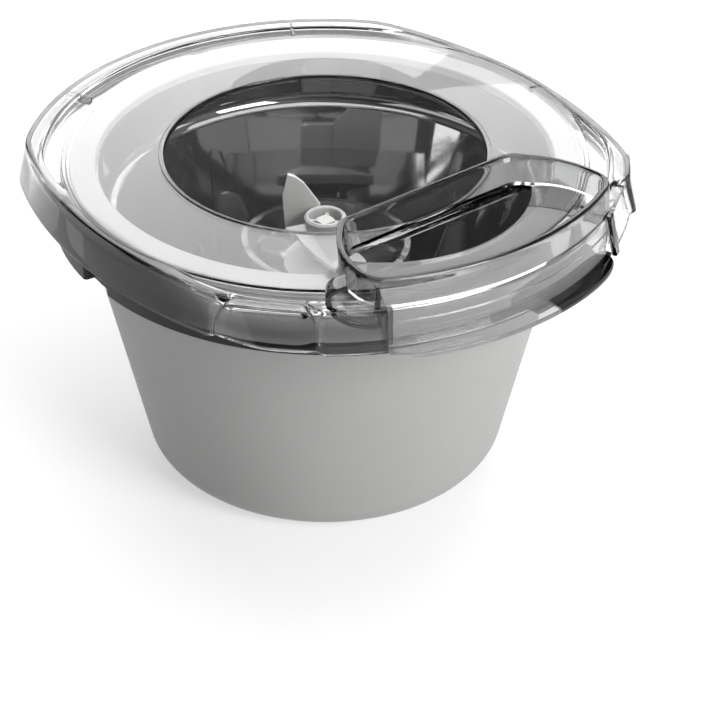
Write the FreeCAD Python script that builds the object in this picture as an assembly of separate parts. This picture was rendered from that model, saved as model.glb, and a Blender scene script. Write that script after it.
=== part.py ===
"""Frozen dessert maker attachment for a stand mixer.

A double-walled freezing bowl carries a dark adaptor ring, a clear lid with an
ingredient chute, and a paddle that turns on a pin in the bowl floor.

Units are millimetres. The origin is on the bowl's axis at the face it stands on.
+Z is up, and the ingredient chute faces -Y. Bearings are degrees from -Y towards +X.
"""
import FreeCAD, Part
import math
import os

# ---------------------------------------------------------------- driving dimensions
RIM_Z = 130.6            # height of the bowl's white rim
RIM_R = 100.4            # outer radius of the rim
MOUTH_R = 90.0           # inner radius of the rim
BASE_R = 71.8            # radius of the outer cone at the base plane
BASE_FILLET = 13.6
WALL = 2.4               # outer shell wall
FOAM = 4.0               # insulation thickness
GEL_TOP = RIM_Z - 10.0

CAP_T = 3.0              # white rim cap
LINER_T = 1.5
LINER_FLOOR = 12.6       # upper face of the liner floor
LINER_KNEE = (62.0, 24.6)        # radius and height where the wall leaves the floor curve
LINER_FLOOR_R = 50.0
LINER_STEP = ((84.0, 108.0), (88.0, 113.6))
LINER_MOUTH_R = 89.2

PLUG_R = 6.0             # plug of the coolant filling hole
PLUG_X = 45.0

PIN_R = 4.0
PIN_TOP = 44.0
PIN_FLANGE_R = 9.0
PIN_FLANGE_T = 1.6
WASHER_T = 1.0
RUNNING = 0.06           # radial running clearance of the paddle on its pin

LID_R = 119.5            # lid outline: front and back arcs, about the bowl's axis
LID_SIDE_R = 200.0       # lid outline: the two flatter side arcs
LID_SIDE_C = 93.5        # distance of a side arc's centre from the bowl's axis
LID_BLEND = 35.0         # corner radius between them
LID_HOLE_R = 63.4
LID_T = 2.2
LID_TOP = RIM_Z + 3.2    # top of the rolled edge
PLATE_Z = RIM_Z + 0.6    # underside of the lid plate
PLATE_R = 103.4
TROUGH_Z = RIM_Z - 2.6   # underside of the trough between plate and rolled edge
BEAD_W = 8.7             # width of the rolled edge at front and back
BEAD_SIDE_W = 4.8        # and at the sides
CROWN_Z = LID_TOP - LID_T        # underside of the rolled edge
SKIRT_Z = RIM_Z - 13.0
FLARE = 3.3              # how far the skirt leans out at its lower edge
RECESS_R = 113.0         # outer face of the finger recesses
RECESSES = ((-59.0, -38.0), (27.0, 42.0))
FRONT = (-27.5, 25.5)    # bearings of the front panel's ends

CHUTE_TOP = RIM_Z + 14.0
CHUTE_T = 2.4
CHUTE_BACK = (63.5, 60.0)        # distance of the straight back from the axis, at foot and mouth
CHUTE_FRONT = (117.5, 116.3)     # radius of the front arc, at foot and mouth
OPENING_BACK = 66.0      # distance of the feed opening's straight edge from the axis
OPENING_FRONT = 92.0
OPENING_HALF = 44.0
OPENING_RIB = (2.0, 5.0)         # thickness and depth of the rib under the opening's straight edge
LIP_R = 125.5
LIP_Z = RIM_Z - 14.8

RING_R = 100.8           # adaptor ring inner radius: it drops over the rim
RING_T = 2.6
RING_TOP = RIM_Z - 19.8
RING_LOW = RIM_Z - 25.0
LUG_R = 107.4
LUG_Z = (RIM_Z - 21.8, RIM_Z - 15.6)
LUG_HALF = 8.5           # half of a lug's width, in degrees
LUG_BEARINGS = (-104.0, 16.0, 136.0)
TAB_R = 119.0            # the second lug is wider, and its top stands out as a tab to turn the ring by
TAB_TOP = RIM_Z - 15.2
TAB_T = 1.8
TAB_BEARING = 15.4
TAB_HALF = 12.8
NOTCH_HALF = 2.6
TWIST = 18.0             # degrees from locked to released
KEY_Z = (RIM_Z - 23.6, RIM_Z - 22.4)     # heights of the bowl's three bayonet keys
KEY_HALF = 2.2
KEY_REACH = 1.2          # how far a key reaches into the ring's groove
GROOVE = 1.6             # depth of that groove
KEY_PLAY = 0.4           # play above and below a key

HUB_R = 8.5
HUB_TOP = RIM_Z - 27.0
SOCKET_R = 6.6
SOCKET_DEPTH = 13.0
HOOP_R = (31.8, 34.4)    # the hoop that ties the paddle's blades together
HOOP_Z = (RIM_Z - 55.0, RIM_Z - 39.0)
COLLAR_R = 17.0
ARM_W = 7.0
BLADE_T = 2.4
BLADE_TOP = 58.0         # top of the edge that follows the liner
BLADE_TIP = (52.0, 58.0, 61.0)   # radii of a blade's raised tip: inner corner, start of rounding, outside
BLADE_GAP = 3.0          # blade edge to liner wall
WIPER_GAP = 0.8          # wiper edge to liner
BLADE_BEARINGS = (-39.0, 81.0, 201.0)
FIN_START = (3.4, 7.5)   # where the fin leaves the hub
FIN_END = (-8.8, 16.6)   # its free edge
FIN_T = 1.8
PADDLE_LOW = LINER_FLOOR + PIN_FLANGE_T + WASHER_T + 0.2

FAR = 400.0
UP = FreeCAD.Vector(0, 0, 1)
ORIGIN = FreeCAD.Vector(0, 0, 0)


# ---------------------------------------------------------------- helpers
def point(radius, bearing, z=0.0):
    angle = math.radians(bearing)
    return FreeCAD.Vector(radius * math.sin(angle), -radius * math.cos(angle), z)


def tube(r_in, r_out, z_low, z_high):
    """A plain ring or, with r_in of 0, a disc."""
    outer = Part.makeCylinder(r_out, z_high - z_low, FreeCAD.Vector(0, 0, z_low))
    if r_in <= 0:
        return outer
    return outer.cut(Part.makeCylinder(r_in, z_high - z_low, FreeCAD.Vector(0, 0, z_low)))


def turned(points):
    """Solid of revolution about Z of a closed outline of (radius, height) points."""
    corners = [FreeCAD.Vector(r, 0, z) for r, z in points]
    wire = Part.makePolygon(corners + corners[:1])
    return Part.Face(wire).revolve(ORIGIN, UP, 360)


def wedge(start, end, z_low, z_high, r_in=0.0, r_out=FAR):
    """The part of a ring between two bearings."""
    z = FreeCAD.Vector(0, 0, z_low)
    middle = 0.5 * (start + end)
    outer = Part.Arc(point(r_out, start, z_low), point(r_out, middle, z_low), point(r_out, end, z_low))
    if r_in > 0:
        inner = Part.Arc(point(r_in, end, z_low), point(r_in, middle, z_low), point(r_in, start, z_low))
        sides = [Part.LineSegment(point(r_out, end, z_low), point(r_in, end, z_low)),
                 Part.LineSegment(point(r_in, start, z_low), point(r_out, start, z_low))]
        edges = [outer, sides[0], inner, sides[1]]
    else:
        edges = [outer,
                 Part.LineSegment(point(r_out, end, z_low), z),
                 Part.LineSegment(z, point(r_out, start, z_low))]
    face = Part.Face(Part.Wire([edge.toShape() for edge in edges]))
    return face.extrude(UP * (z_high - z_low))


def prism(wire, height):
    return Part.Face(wire).extrude(UP * height)


def spin(shape, bearing):
    return shape.rotated(ORIGIN, UP, bearing)


def upright_edges(shape, radius):
    """The upright edges that lie outside a radius."""
    upright = [edge for edge in shape.Edges if edge.BoundBox.ZLength > 1.0]
    return [edge for edge in upright if math.hypot(edge.CenterOfMass.x, edge.CenterOfMass.y) > radius]


def cone_r(z):
    """Outer radius of the bowl at a height."""
    return BASE_R + (RIM_R - BASE_R) * z / RIM_Z


def cone_solid(inset, z_low, z_high, fillet):
    body = turned([(0, z_low), (cone_r(z_low) - inset, z_low), (cone_r(z_high) - inset, z_high), (0, z_high)])
    edges = [e for e in body.Edges if e.BoundBox.ZMax < z_low + 0.01 and e.BoundBox.XLength > 50]
    return body.makeFillet(fillet, edges)


# ---------------------------------------------------------------- bowl
def liner_cup(offset):
    """The liner's inner space, grown by an offset."""
    floor = LINER_FLOOR - offset
    knee_r, knee_z = LINER_KNEE
    low_step, high_step = LINER_STEP
    top = RIM_Z - CAP_T
    start = FreeCAD.Vector(LINER_FLOOR_R, 0, floor)
    knee = FreeCAD.Vector(knee_r + offset, 0, knee_z)
    bend = FreeCAD.Vector(LINER_FLOOR_R + 9.0 + 0.7 * offset, 0, floor + 4.2)
    step = [FreeCAD.Vector(low_step[0] + offset, 0, low_step[1]),
            FreeCAD.Vector(high_step[0] - 0.6 + offset, 0, low_step[1] + 1.9),
            FreeCAD.Vector(high_step[0] + offset, 0, high_step[1])]
    edges = [Part.LineSegment(FreeCAD.Vector(0, 0, floor), start),
             Part.Arc(start, bend, knee),
             Part.LineSegment(knee, step[0]),
             Part.Arc(step[0], step[1], step[2]),
             Part.LineSegment(step[2], FreeCAD.Vector(LINER_MOUTH_R + offset, 0, top)),
             Part.LineSegment(FreeCAD.Vector(LINER_MOUTH_R + offset, 0, top), FreeCAD.Vector(0, 0, top)),
             Part.LineSegment(FreeCAD.Vector(0, 0, top), FreeCAD.Vector(0, 0, floor))]
    face = Part.Face(Part.Wire([edge.toShape() for edge in edges]))
    return face.revolve(ORIGIN, UP, 360)


def make_outer_shell():
    top = RIM_Z - CAP_T
    shell = cone_solid(0.0, 0.0, top, BASE_FILLET)
    shell = shell.cut(cone_solid(WALL, WALL, top + 1.0, BASE_FILLET - WALL))
    groove = tube(32.0, 54.0, 0.0, 0.8)
    hole = Part.makeCylinder(PLUG_R, 4 * WALL, FreeCAD.Vector(PLUG_X, 0, -WALL))
    shell = shell.cut(groove).cut(hole)
    for bearing in LUG_BEARINGS:
        entry = bearing + LUG_HALF + NOTCH_HALF
        key = wedge(entry + TWIST - KEY_HALF, entry + TWIST + KEY_HALF,
                    KEY_Z[0], KEY_Z[1], cone_r(KEY_Z[0]) - 1.5, RING_R + KEY_REACH)
        shell = shell.fuse(key)
    return shell.removeSplitter()


def make_insulation_sleeve():
    outside = cone_solid(WALL, WALL, GEL_TOP, BASE_FILLET - WALL)
    inside = cone_solid(WALL + FOAM, WALL + FOAM, GEL_TOP + 1.0, BASE_FILLET - WALL - FOAM)
    plug = Part.makeCylinder(PLUG_R, 2 * FOAM, FreeCAD.Vector(PLUG_X, 0, WALL))
    return outside.cut(inside).cut(plug)


def make_coolant_gel():
    space = cone_solid(WALL + FOAM, WALL + FOAM, GEL_TOP, BASE_FILLET - WALL - FOAM)
    return space.cut(liner_cup(LINER_T)).cut(make_pin_nut())


def make_inner_liner():
    liner = liner_cup(LINER_T).cut(liner_cup(0.0))
    top = RIM_Z - CAP_T
    flange = tube(LINER_MOUTH_R, 96.5, top - LINER_T, top)
    hole = Part.makeCylinder(PIN_R - 1.0, 10.0, FreeCAD.Vector(0, 0, LINER_FLOOR - 5.0))
    return liner.fuse(flange).cut(hole).removeSplitter()


def make_rim_cap():
    cap = tube(MOUTH_R, RIM_R, RIM_Z - CAP_T, RIM_Z)
    edges = [e for e in cap.Edges if e.BoundBox.ZMin > RIM_Z - 0.01]
    return cap.makeFillet(0.8, edges)


def make_liner_seal():
    top = RIM_Z - CAP_T - LINER_T
    return tube(91.9, 95.5, top - 3.0, top)


def make_locating_pin():
    flange_top = LINER_FLOOR + PIN_FLANGE_T
    profile = [(0, LINER_FLOOR - 5.0), (PIN_R - 1.0, LINER_FLOOR - 5.0), (PIN_R - 1.0, LINER_FLOOR),
               (PIN_FLANGE_R, LINER_FLOOR), (PIN_FLANGE_R, flange_top), (PIN_R, flange_top),
               (PIN_R, PIN_TOP - 1.5), (PIN_R - 1.5, PIN_TOP), (0, PIN_TOP)]
    return turned(profile)


def make_pin_nut():
    """Hexagonal nut under the liner floor, drawn with its stud hole filled."""
    corners = [point(6.4, 60.0 * i, LINER_FLOOR - LINER_T - 3.5) for i in range(6)]
    return prism(Part.makePolygon(corners + corners[:1]), 3.5)


def make_thrust_washer():
    low = LINER_FLOOR + PIN_FLANGE_T
    return tube(PIN_R + 0.2, PIN_FLANGE_R, low, low + WASHER_T)


def make_fill_plug():
    return Part.makeCylinder(PLUG_R, WALL + FOAM - 1.4, FreeCAD.Vector(PLUG_X, 0, 1.4))


# ---------------------------------------------------------------- adaptor ring
def make_adaptor_ring():
    """Flat hoop with three entry notches, each leading into a blind groove for a key.

    Its lower edge is cut back level with the underside of each lug.
    """
    ring = tube(RING_R, RING_R + RING_T, RING_LOW, RING_TOP)
    low, high = KEY_Z[0] - KEY_PLAY, KEY_Z[1] + KEY_PLAY
    for bearing in LUG_BEARINGS:
        entry = bearing + LUG_HALF + NOTCH_HALF
        notch = wedge(entry - NOTCH_HALF, entry + NOTCH_HALF, RING_LOW, high)
        end = entry + TWIST + NOTCH_HALF + 0.6
        groove = wedge(entry - NOTCH_HALF, end, low, high, RING_R - 1.0, RING_R + GROOVE)
        relief = wedge(bearing - LUG_HALF, entry, RING_LOW, LUG_Z[0])
        ring = ring.cut(notch).cut(groove).cut(relief)
    return ring


def make_ring_lug(bearing, radius, half, z_range):
    lug = wedge(bearing - half, bearing + half, z_range[0], z_range[1], RING_R + RING_T, radius)
    return lug.makeFillet(1.5, upright_edges(lug, radius - 1.0))


def make_turning_tab():
    """The second lug, with a thin flange on top that reaches out under the lid's lip."""
    flange = make_ring_lug(TAB_BEARING, TAB_R, TAB_HALF, (TAB_TOP - TAB_T, TAB_TOP))
    lug = wedge(TAB_BEARING - TAB_HALF + 1.0, TAB_BEARING + TAB_HALF - 1.0,
                LUG_Z[0], TAB_TOP - 0.5 * TAB_T, RING_R + RING_T, LUG_R)
    return flange.fuse(lug).removeSplitter()


# ---------------------------------------------------------------- lid
def lid_wire(front_offset, side_offset, z):
    """The lid's outline: two arcs about the axis, two flatter side arcs and four blends."""
    r_main = LID_R + front_offset
    r_side = LID_SIDE_R + side_offset
    blend = LID_BLEND
    cx = ((r_side - blend) ** 2 - (r_main - blend) ** 2 - LID_SIDE_C ** 2) / (2 * LID_SIDE_C)
    cy = math.sqrt((r_main - blend) ** 2 - cx ** 2)
    main_angle = math.atan2(cy, cx)
    side_angle = math.atan2(cy, cx + LID_SIDE_C)

    def on_blend(angle, sx, sy):
        return FreeCAD.Vector(sx * (cx + blend * math.cos(angle)), sy * (cy + blend * math.sin(angle)), z)

    edges = []
    for sx, sy in ((1, -1), (1, 1), (-1, 1), (-1, -1)):
        angles = [main_angle, 0.5 * (main_angle + side_angle), side_angle]
        if sx * sy > 0:
            angles.reverse()
        corner = [on_blend(a, sx, sy) for a in angles]
        edges.append(Part.Arc(corner[0], corner[1], corner[2]).toShape())
        if sx * sy < 0:
            middle = FreeCAD.Vector(sx * (r_side - LID_SIDE_C), 0, z)
            following = FreeCAD.Vector(corner[2].x, -corner[2].y, z)
        else:
            middle = FreeCAD.Vector(0, sy * r_main, z)
            following = FreeCAD.Vector(-corner[2].x, corner[2].y, z)
        edges.append(Part.Arc(corner[2], middle, following).toShape())
    return Part.Wire(edges)


def lid_slab(front_offset, side_offset, z_low, z_high):
    return prism(lid_wire(front_offset, side_offset, z_low), z_high - z_low)


def lid_loft(sections):
    wires = [lid_wire(offset, offset, z) for offset, z in sections]
    return Part.makeLoft(wires, True, True)


def lid_rolled_edge():
    """Skirt and crown of the lid's edge, open inside the inner wall."""
    outside = lid_loft([(FLARE, SKIRT_Z), (0.3, RIM_Z), (-0.5, LID_TOP - 1.2), (-1.8, LID_TOP)])
    space = lid_loft([(FLARE - LID_T, SKIRT_Z), (0.3 - LID_T, RIM_Z), (-LID_T - 0.5, CROWN_Z)])
    return outside.cut(space).cut(lid_slab(-BEAD_W, -BEAD_SIDE_W, TROUGH_Z, LID_TOP))


def lid_front_gap():
    """The space that the front panel fills."""
    return wedge(FRONT[0], FRONT[1], SKIRT_Z - 1.0, LID_TOP + 1.0, PLATE_R)


def opening_wire(z):
    back = -OPENING_BACK
    front = -OPENING_FRONT
    half = OPENING_HALF
    corner_x = half - 4.0
    left = FreeCAD.Vector(-corner_x, back, z)
    right = FreeCAD.Vector(corner_x, back, z)
    right_low = FreeCAD.Vector(half, back - 6.0, z)
    left_low = FreeCAD.Vector(-half, back - 6.0, z)
    right_mid = FreeCAD.Vector(half - 0.6, back - 2.4, z)
    left_mid = FreeCAD.Vector(-half + 0.6, back - 2.4, z)
    edges = [Part.LineSegment(left, right), Part.Arc(right, right_mid, right_low),
             Part.Arc(right_low, FreeCAD.Vector(0, front, z), left_low), Part.Arc(left_low, left_mid, left)]
    return Part.Wire([edge.toShape() for edge in edges])


def make_lid_plate():
    """Flat ring over the bowl's mouth, with the feed opening and a rib under its straight edge."""
    plate = tube(LID_HOLE_R, PLATE_R, PLATE_Z, PLATE_Z + LID_T)
    plate = plate.common(lid_slab(-BEAD_W, -BEAD_SIDE_W, PLATE_Z, LID_TOP))
    plate = plate.cut(prism(opening_wire(PLATE_Z - 1.0), 4.0))
    thick, deep = OPENING_RIB
    half = OPENING_HALF - 4.0
    rib = Part.makeBox(2 * half, thick, deep, FreeCAD.Vector(-half, -OPENING_BACK, PLATE_Z - deep))
    return plate.fuse(rib).removeSplitter()


def make_lid_skirt():
    """Rolled edge and skirt, stepped in at the finger recesses and open at the front."""
    skirt = lid_rolled_edge()
    inner = RECESS_R - LID_T
    envelope = lid_loft([(FLARE, SKIRT_Z), (0.3, RIM_Z), (-0.5, LID_TOP - 1.2)])
    for start, end in RECESSES:
        skirt = skirt.cut(wedge(start, end, SKIRT_Z - 1.0, LID_TOP + 1.0, RECESS_R))
        skirt = skirt.fuse(wedge(start, end, SKIRT_Z, LID_TOP, inner, RECESS_R))
        for side in (start - 1.0, end):
            wall = wedge(side, side + 1.0, SKIRT_Z, LID_TOP - 1.0, inner)
            skirt = skirt.fuse(wall.common(envelope))
    return skirt.cut(lid_front_gap()).removeSplitter()


def make_lid_trough():
    """Step down from the plate, the trough outside it, and the wall up to the rolled edge."""
    step = tube(PLATE_R - 2.0, PLATE_R, TROUGH_Z, PLATE_Z)
    floor = lid_slab(LID_T - BEAD_W, LID_T - BEAD_SIDE_W, TROUGH_Z, TROUGH_Z + 2.0)
    floor = floor.cut(tube(0, PLATE_R - 2.0, TROUGH_Z, TROUGH_Z + 2.0))
    wall = lid_slab(LID_T - BEAD_W, LID_T - BEAD_SIDE_W, TROUGH_Z, CROWN_Z)
    wall = wall.cut(lid_slab(-BEAD_W, -BEAD_SIDE_W, TROUGH_Z, CROWN_Z))
    return step.fuse(floor).fuse(wall).cut(lid_front_gap()).cut(make_lid_skirt()).removeSplitter()


def chute_wire(z, back, front_r, inset):
    """Crescent outline of the chute: straight back, bowed ends, front arc about the axis."""
    y_back = -(back + inset)
    r = front_r - inset
    corner_x = 52.0 - 0.6 * inset
    right = [(38.0 - 0.5 * inset, y_back),
             (42.6 - 0.8 * inset, y_back - 1.6),
             (46.0 - 0.9 * inset, y_back - 5.5 + 0.4 * inset),
             (54.3 - 0.9 * inset, -77.5 - 0.4 * inset),
             (58.3 - inset, -91.0 - 0.1 * inset),
             (57.4 - 0.9 * inset, -98.8 + 0.4 * inset),
             (corner_x, -math.sqrt(r * r - corner_x * corner_x))]
    right = [FreeCAD.Vector(x, y, z) for x, y in right]
    left = [FreeCAD.Vector(-v.x, v.y, z) for v in right]
    edges = [Part.LineSegment(left[0], right[0])]
    edges += [Part.Arc(right[i], right[i + 1], right[i + 2]) for i in (0, 2, 4)]
    edges.append(Part.Arc(right[6], FreeCAD.Vector(0, -r, z), left[6]))
    edges += [Part.Arc(left[i + 2], left[i + 1], left[i]) for i in (4, 2, 0)]
    return Part.Wire([edge.toShape() for edge in edges])


def make_feed_chute():
    def funnel(inset):
        foot = chute_wire(PLATE_Z + LID_T, CHUTE_BACK[0], CHUTE_FRONT[0], inset)
        mouth = chute_wire(CHUTE_TOP, CHUTE_BACK[1], CHUTE_FRONT[1], inset)
        return Part.makeLoft([foot, mouth], True, True)

    return funnel(0.0).cut(funnel(CHUTE_T)).cut(make_lid_skirt())


def make_chute_front():
    start, end = FRONT[0] + 0.1, FRONT[1] - 0.1
    shelf = wedge(start, end, PLATE_Z, PLATE_Z + LID_T, PLATE_R + 0.1, 118.0)
    wall = wedge(start, end, SKIRT_Z, PLATE_Z, 118.0 - LID_T, 118.0)
    lip = wedge(start + 0.6, end - 0.6, LIP_Z, SKIRT_Z, 118.0 - LID_T, LIP_R)
    lip = lip.makeFillet(5.0, upright_edges(lip, 122.0))
    front = shelf.fuse(wall).fuse(lip)
    for z in (RIM_Z - 3.5, RIM_Z - 8.5):
        front = front.fuse(wedge(start, end, z, z + 0.8, 117.5, 118.6))
    return front.removeSplitter()


# ---------------------------------------------------------------- paddle
def make_paddle_hub():
    profile = [(5.5, PADDLE_LOW), (HUB_R, PADDLE_LOW), (HUB_R, HOOP_Z[0] - 4.0), (COLLAR_R, HOOP_Z[0]),
               (COLLAR_R, HOOP_Z[0] + 4.0), (HUB_R, HOOP_Z[0] + 8.0), (HUB_R, HUB_TOP - 0.8),
               (HUB_R - 0.8, HUB_TOP), (SOCKET_R + 0.5, HUB_TOP), (SOCKET_R, HUB_TOP - 0.5),
               (SOCKET_R, HUB_TOP - SOCKET_DEPTH), (0, HUB_TOP - SOCKET_DEPTH), (0, PIN_TOP + 4.0),
               (5.5, PIN_TOP + 4.0)]
    return turned(profile)


def make_drive_insert():
    """Rounded square boss with four diagonal ribs, pressed into the hub's socket."""
    low = HUB_TOP - SOCKET_DEPTH
    boss = Part.makeBox(6.4, 6.4, SOCKET_DEPTH - 2.0, FreeCAD.Vector(-3.2, -3.2, low))
    boss = boss.makeFillet(1.8, [e for e in boss.Edges if e.BoundBox.ZLength > 1.0])
    for turn in (45.0, 135.0):
        rib = Part.makeBox(2 * SOCKET_R, 1.5, SOCKET_DEPTH - 2.6, FreeCAD.Vector(-SOCKET_R, -0.75, low))
        rib = rib.common(Part.makeCylinder(SOCKET_R, SOCKET_DEPTH, FreeCAD.Vector(0, 0, low)))
        boss = boss.fuse(spin(rib, turn))
    return boss.removeSplitter()


def make_hub_bush():
    return tube(PIN_R + RUNNING, 5.5, PADDLE_LOW, PADDLE_LOW + 16.0)


def make_paddle_ring():
    low, high = HOOP_Z
    ring = tube(HOOP_R[0], HOOP_R[1], low, high)
    for bearing in BLADE_BEARINGS:
        reach = HOOP_R[0] + 0.5
        arm = Part.makeBox(ARM_W, reach, 3.0, FreeCAD.Vector(-ARM_W / 2, -reach, low + 0.5))
        ring = ring.fuse(spin(arm, bearing))
    return ring.cut(tube(0, COLLAR_R, low - 1.0, high)).removeSplitter()


def wall_r(z):
    """Liner radius on its straight taper."""
    (r_low, z_low), (r_high, z_high) = LINER_KNEE, LINER_STEP[0]
    return r_low + (r_high - r_low) * (z - z_low) / (z_high - z_low)


def blade_sheet(thickness):
    """A vertical sheet, curved in plan, from the hub out past the liner."""
    bow = 60.0
    middle = 42.0
    radius = math.hypot(middle, bow)
    centre = FreeCAD.Vector(bow, -middle, 0)
    outer = Part.makeCylinder(radius + thickness / 2, RIM_Z, centre)
    inner = Part.makeCylinder(radius - thickness / 2, RIM_Z, centre)
    half = Part.makeBox(60.0, 2 * FAR, RIM_Z, FreeCAD.Vector(-30.0, -2 * FAR - 4.0, 0))
    return outer.cut(inner).common(half)


def blade_edge(gap):
    """Outer and lower edge of a blade, at a gap from the liner."""
    return [(LINER_FLOOR_R - 4.0, LINER_FLOOR + gap), (LINER_KNEE[0] - 3.0 - gap, LINER_KNEE[1] - 6.0 + gap),
            (wall_r(30.0) - gap, 30.0), (wall_r(BLADE_TOP) - gap, BLADE_TOP)]


def make_paddle_blade(bearing):
    """Curved blade: its foot follows the liner, and it rises to a rounded tip beside the hoop."""
    edge = blade_edge(BLADE_GAP)
    tip_in, tip_round, tip_out = BLADE_TIP
    outline = [(HUB_R, edge[0][1])] + edge
    outline += [(tip_out, BLADE_TOP + 4.0), (tip_out, HOOP_Z[1] - 3.5), (tip_round, HOOP_Z[1])]
    outline += [(tip_in, HOOP_Z[1]), (HOOP_R[1] + 10.0, HOOP_Z[0]), (HUB_R, HOOP_Z[0])]
    blade = blade_sheet(BLADE_T).common(turned(outline))
    return spin(blade.cut(make_paddle_hub()), bearing)


def make_wiper(bearing):
    outer = blade_edge(WIPER_GAP)
    inner = blade_edge(BLADE_GAP)
    inner.reverse()
    return spin(blade_sheet(BLADE_T - 0.8).common(turned(outer + inner)), bearing)


def make_paddle_fin():
    """Tall pointed fin, tangential to the hub."""
    along = FreeCAD.Vector(FIN_END[0] - FIN_START[0], FIN_END[1] - FIN_START[1], 0)
    length = along.Length
    along.normalize()
    low = HOOP_Z[0] + 8.0
    outline = [(0.0, low), (length - 3.0, low), (length - 1.0, low + 9.0), (length, HUB_TOP + 4.0),
               (length - 2.2, HUB_TOP + 14.0), (length - 5.0, HUB_TOP + 13.0), (length - 8.5, HUB_TOP + 10.0),
               (0.0, HUB_TOP)]
    base = FreeCAD.Vector(FIN_START[0], FIN_START[1], 0)
    corners = [base + along * distance + UP * height for distance, height in outline]
    side = along.cross(UP)
    fin = Part.Face(Part.makePolygon(corners + corners[:1])).extrude(side * FIN_T)
    return fin.cut(Part.makeCylinder(HUB_R, RIM_Z))


def make_auger_flight():
    """Ramp that winds down round the hub from the foot of the fin."""
    steps = 6
    wires = []
    for i in range(steps + 1):
        share = i / steps
        bearing = -106.0 + 100.0 * share
        high = HUB_TOP - 2.0 - 21.0 * share
        reach = 17.0 - 4.0 * share
        corners = [point(HUB_R - 0.6, bearing, high - 2.0), point(reach, bearing, high - 1.6),
                   point(reach, bearing, high), point(HUB_R - 0.6, bearing, high)]
        wires.append(Part.makePolygon(corners + corners[:1]))
    return Part.makeLoft(wires, True, True).cut(make_paddle_hub())


# ---------------------------------------------------------------- output
def build():
    nodes = {
        "outer_shell": make_outer_shell(),
        "insulation_sleeve": make_insulation_sleeve(),
        "coolant_gel": make_coolant_gel(),
        "inner_liner": make_inner_liner(),
        "rim_cap": make_rim_cap(),
        "liner_seal": make_liner_seal(),
        "locating_pin": make_locating_pin(),
        "pin_nut": make_pin_nut().cut(make_locating_pin()),
        "thrust_washer": make_thrust_washer(),
        "fill_plug": make_fill_plug(),
        "adaptor_ring": make_adaptor_ring(),
        "turning_tab": make_turning_tab(),
        "lid_plate": make_lid_plate(),
        "lid_trough": make_lid_trough(),
        "lid_skirt": make_lid_skirt(),
        "feed_chute": make_feed_chute(),
        "chute_front": make_chute_front(),
        "paddle_hub": make_paddle_hub(),
        "drive_insert": make_drive_insert(),
        "hub_bush": make_hub_bush(),
        "paddle_ring": make_paddle_ring(),
        "paddle_fin": make_paddle_fin(),
        "auger_flight": make_auger_flight(),
    }
    for number, bearing in enumerate(LUG_BEARINGS, 1):
        if bearing != LUG_BEARINGS[1]:
            nodes[f"rest_lug_{number}"] = make_ring_lug(bearing, LUG_R, LUG_HALF, LUG_Z)
    for number, bearing in enumerate(BLADE_BEARINGS, 1):
        nodes[f"paddle_blade_{number}"] = make_paddle_blade(bearing)
        nodes[f"wiper_edge_{number}"] = make_wiper(bearing)
    return nodes


os.makedirs("parts", exist_ok=True)
for name, shape in build().items():
    shape.exportStep(f"parts/{name}.step")
    print(name, len(shape.Solids), round(shape.Volume / 1000.0, 2), shape.isValid())
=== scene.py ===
"""Looks of the frozen dessert maker attachment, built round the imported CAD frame.

The clear lid, chute and front panel are rebuilt as fine meshes with rounded edges, and
every CAD node that stays gets a procedural material. Lengths in the driving values are
millimetres unless they say metres, heights are measured from the bowl's rim, and bearings
are degrees from -Y towards +X. The scene itself is in metres.
"""
import math

import bmesh
import bpy
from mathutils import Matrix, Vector


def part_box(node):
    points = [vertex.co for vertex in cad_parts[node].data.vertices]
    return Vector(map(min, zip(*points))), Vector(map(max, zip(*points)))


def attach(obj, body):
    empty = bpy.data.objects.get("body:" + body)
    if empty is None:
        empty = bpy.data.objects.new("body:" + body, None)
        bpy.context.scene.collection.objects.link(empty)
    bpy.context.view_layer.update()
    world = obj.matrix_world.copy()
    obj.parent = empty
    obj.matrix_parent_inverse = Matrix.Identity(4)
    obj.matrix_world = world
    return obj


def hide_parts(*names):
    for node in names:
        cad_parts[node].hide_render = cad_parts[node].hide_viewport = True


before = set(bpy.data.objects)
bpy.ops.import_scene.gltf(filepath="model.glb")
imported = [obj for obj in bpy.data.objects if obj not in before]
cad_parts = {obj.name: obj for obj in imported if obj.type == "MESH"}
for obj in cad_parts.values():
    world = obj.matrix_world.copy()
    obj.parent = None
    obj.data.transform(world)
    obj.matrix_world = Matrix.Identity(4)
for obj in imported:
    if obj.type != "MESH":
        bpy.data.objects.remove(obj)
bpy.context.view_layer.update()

MM = 0.001
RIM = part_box("rim_cap")[1].z / MM          # height of the rim above the floor

# ---------------------------------------------------------------- driving values, mm and degrees
# Lid
LID_R = 119.5            # outline: arcs at the front and back, round the axis
LID_SIDE_R = 200.0       # outline: flatter arcs at the sides
LID_SIDE_C = 93.5        # how far past the axis the side arcs are centred
OUTLINE_BLEND = 0.9      # softness of the corners between the arcs
HOLE_R = 63.4
HOLE_LIP = 0.4           # the rim of the hole stands this far above the plate
PLATE_R = 103.4
PLATE = (0.6, 2.8)       # underside and top of the plate
TROUGH = (-2.6, -0.6)    # underside and top of the trough between the plate and the rolled edge
CROWN_Z = 3.2            # top of the rolled edge
BEAD_W = 8.7             # width of the rolled edge at the front and back
BEAD_SIDE_W = 4.8        # and at the sides
SKIRT_Z = -13.0          # foot of the skirt
FLARE = 3.25             # how far the skirt's foot stands out past the outline
WALL = 2.2
LID_STEPS = 600
RECESS_R = 113.0         # top of the finger recesses
RECESS_SLOPE = 2.0       # a recess has come out by this much at the height of the rim
RECESS_FLARE = 1.2       # how far a recess's foot stands out past the outline
RECESS_RAMP = (4.6, 1.5)                   # length of a recess's ends, at its top and foot
RECESSES = ((-59.0, -38.0), (27.0, 42.0))  # bearings of their ends
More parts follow.
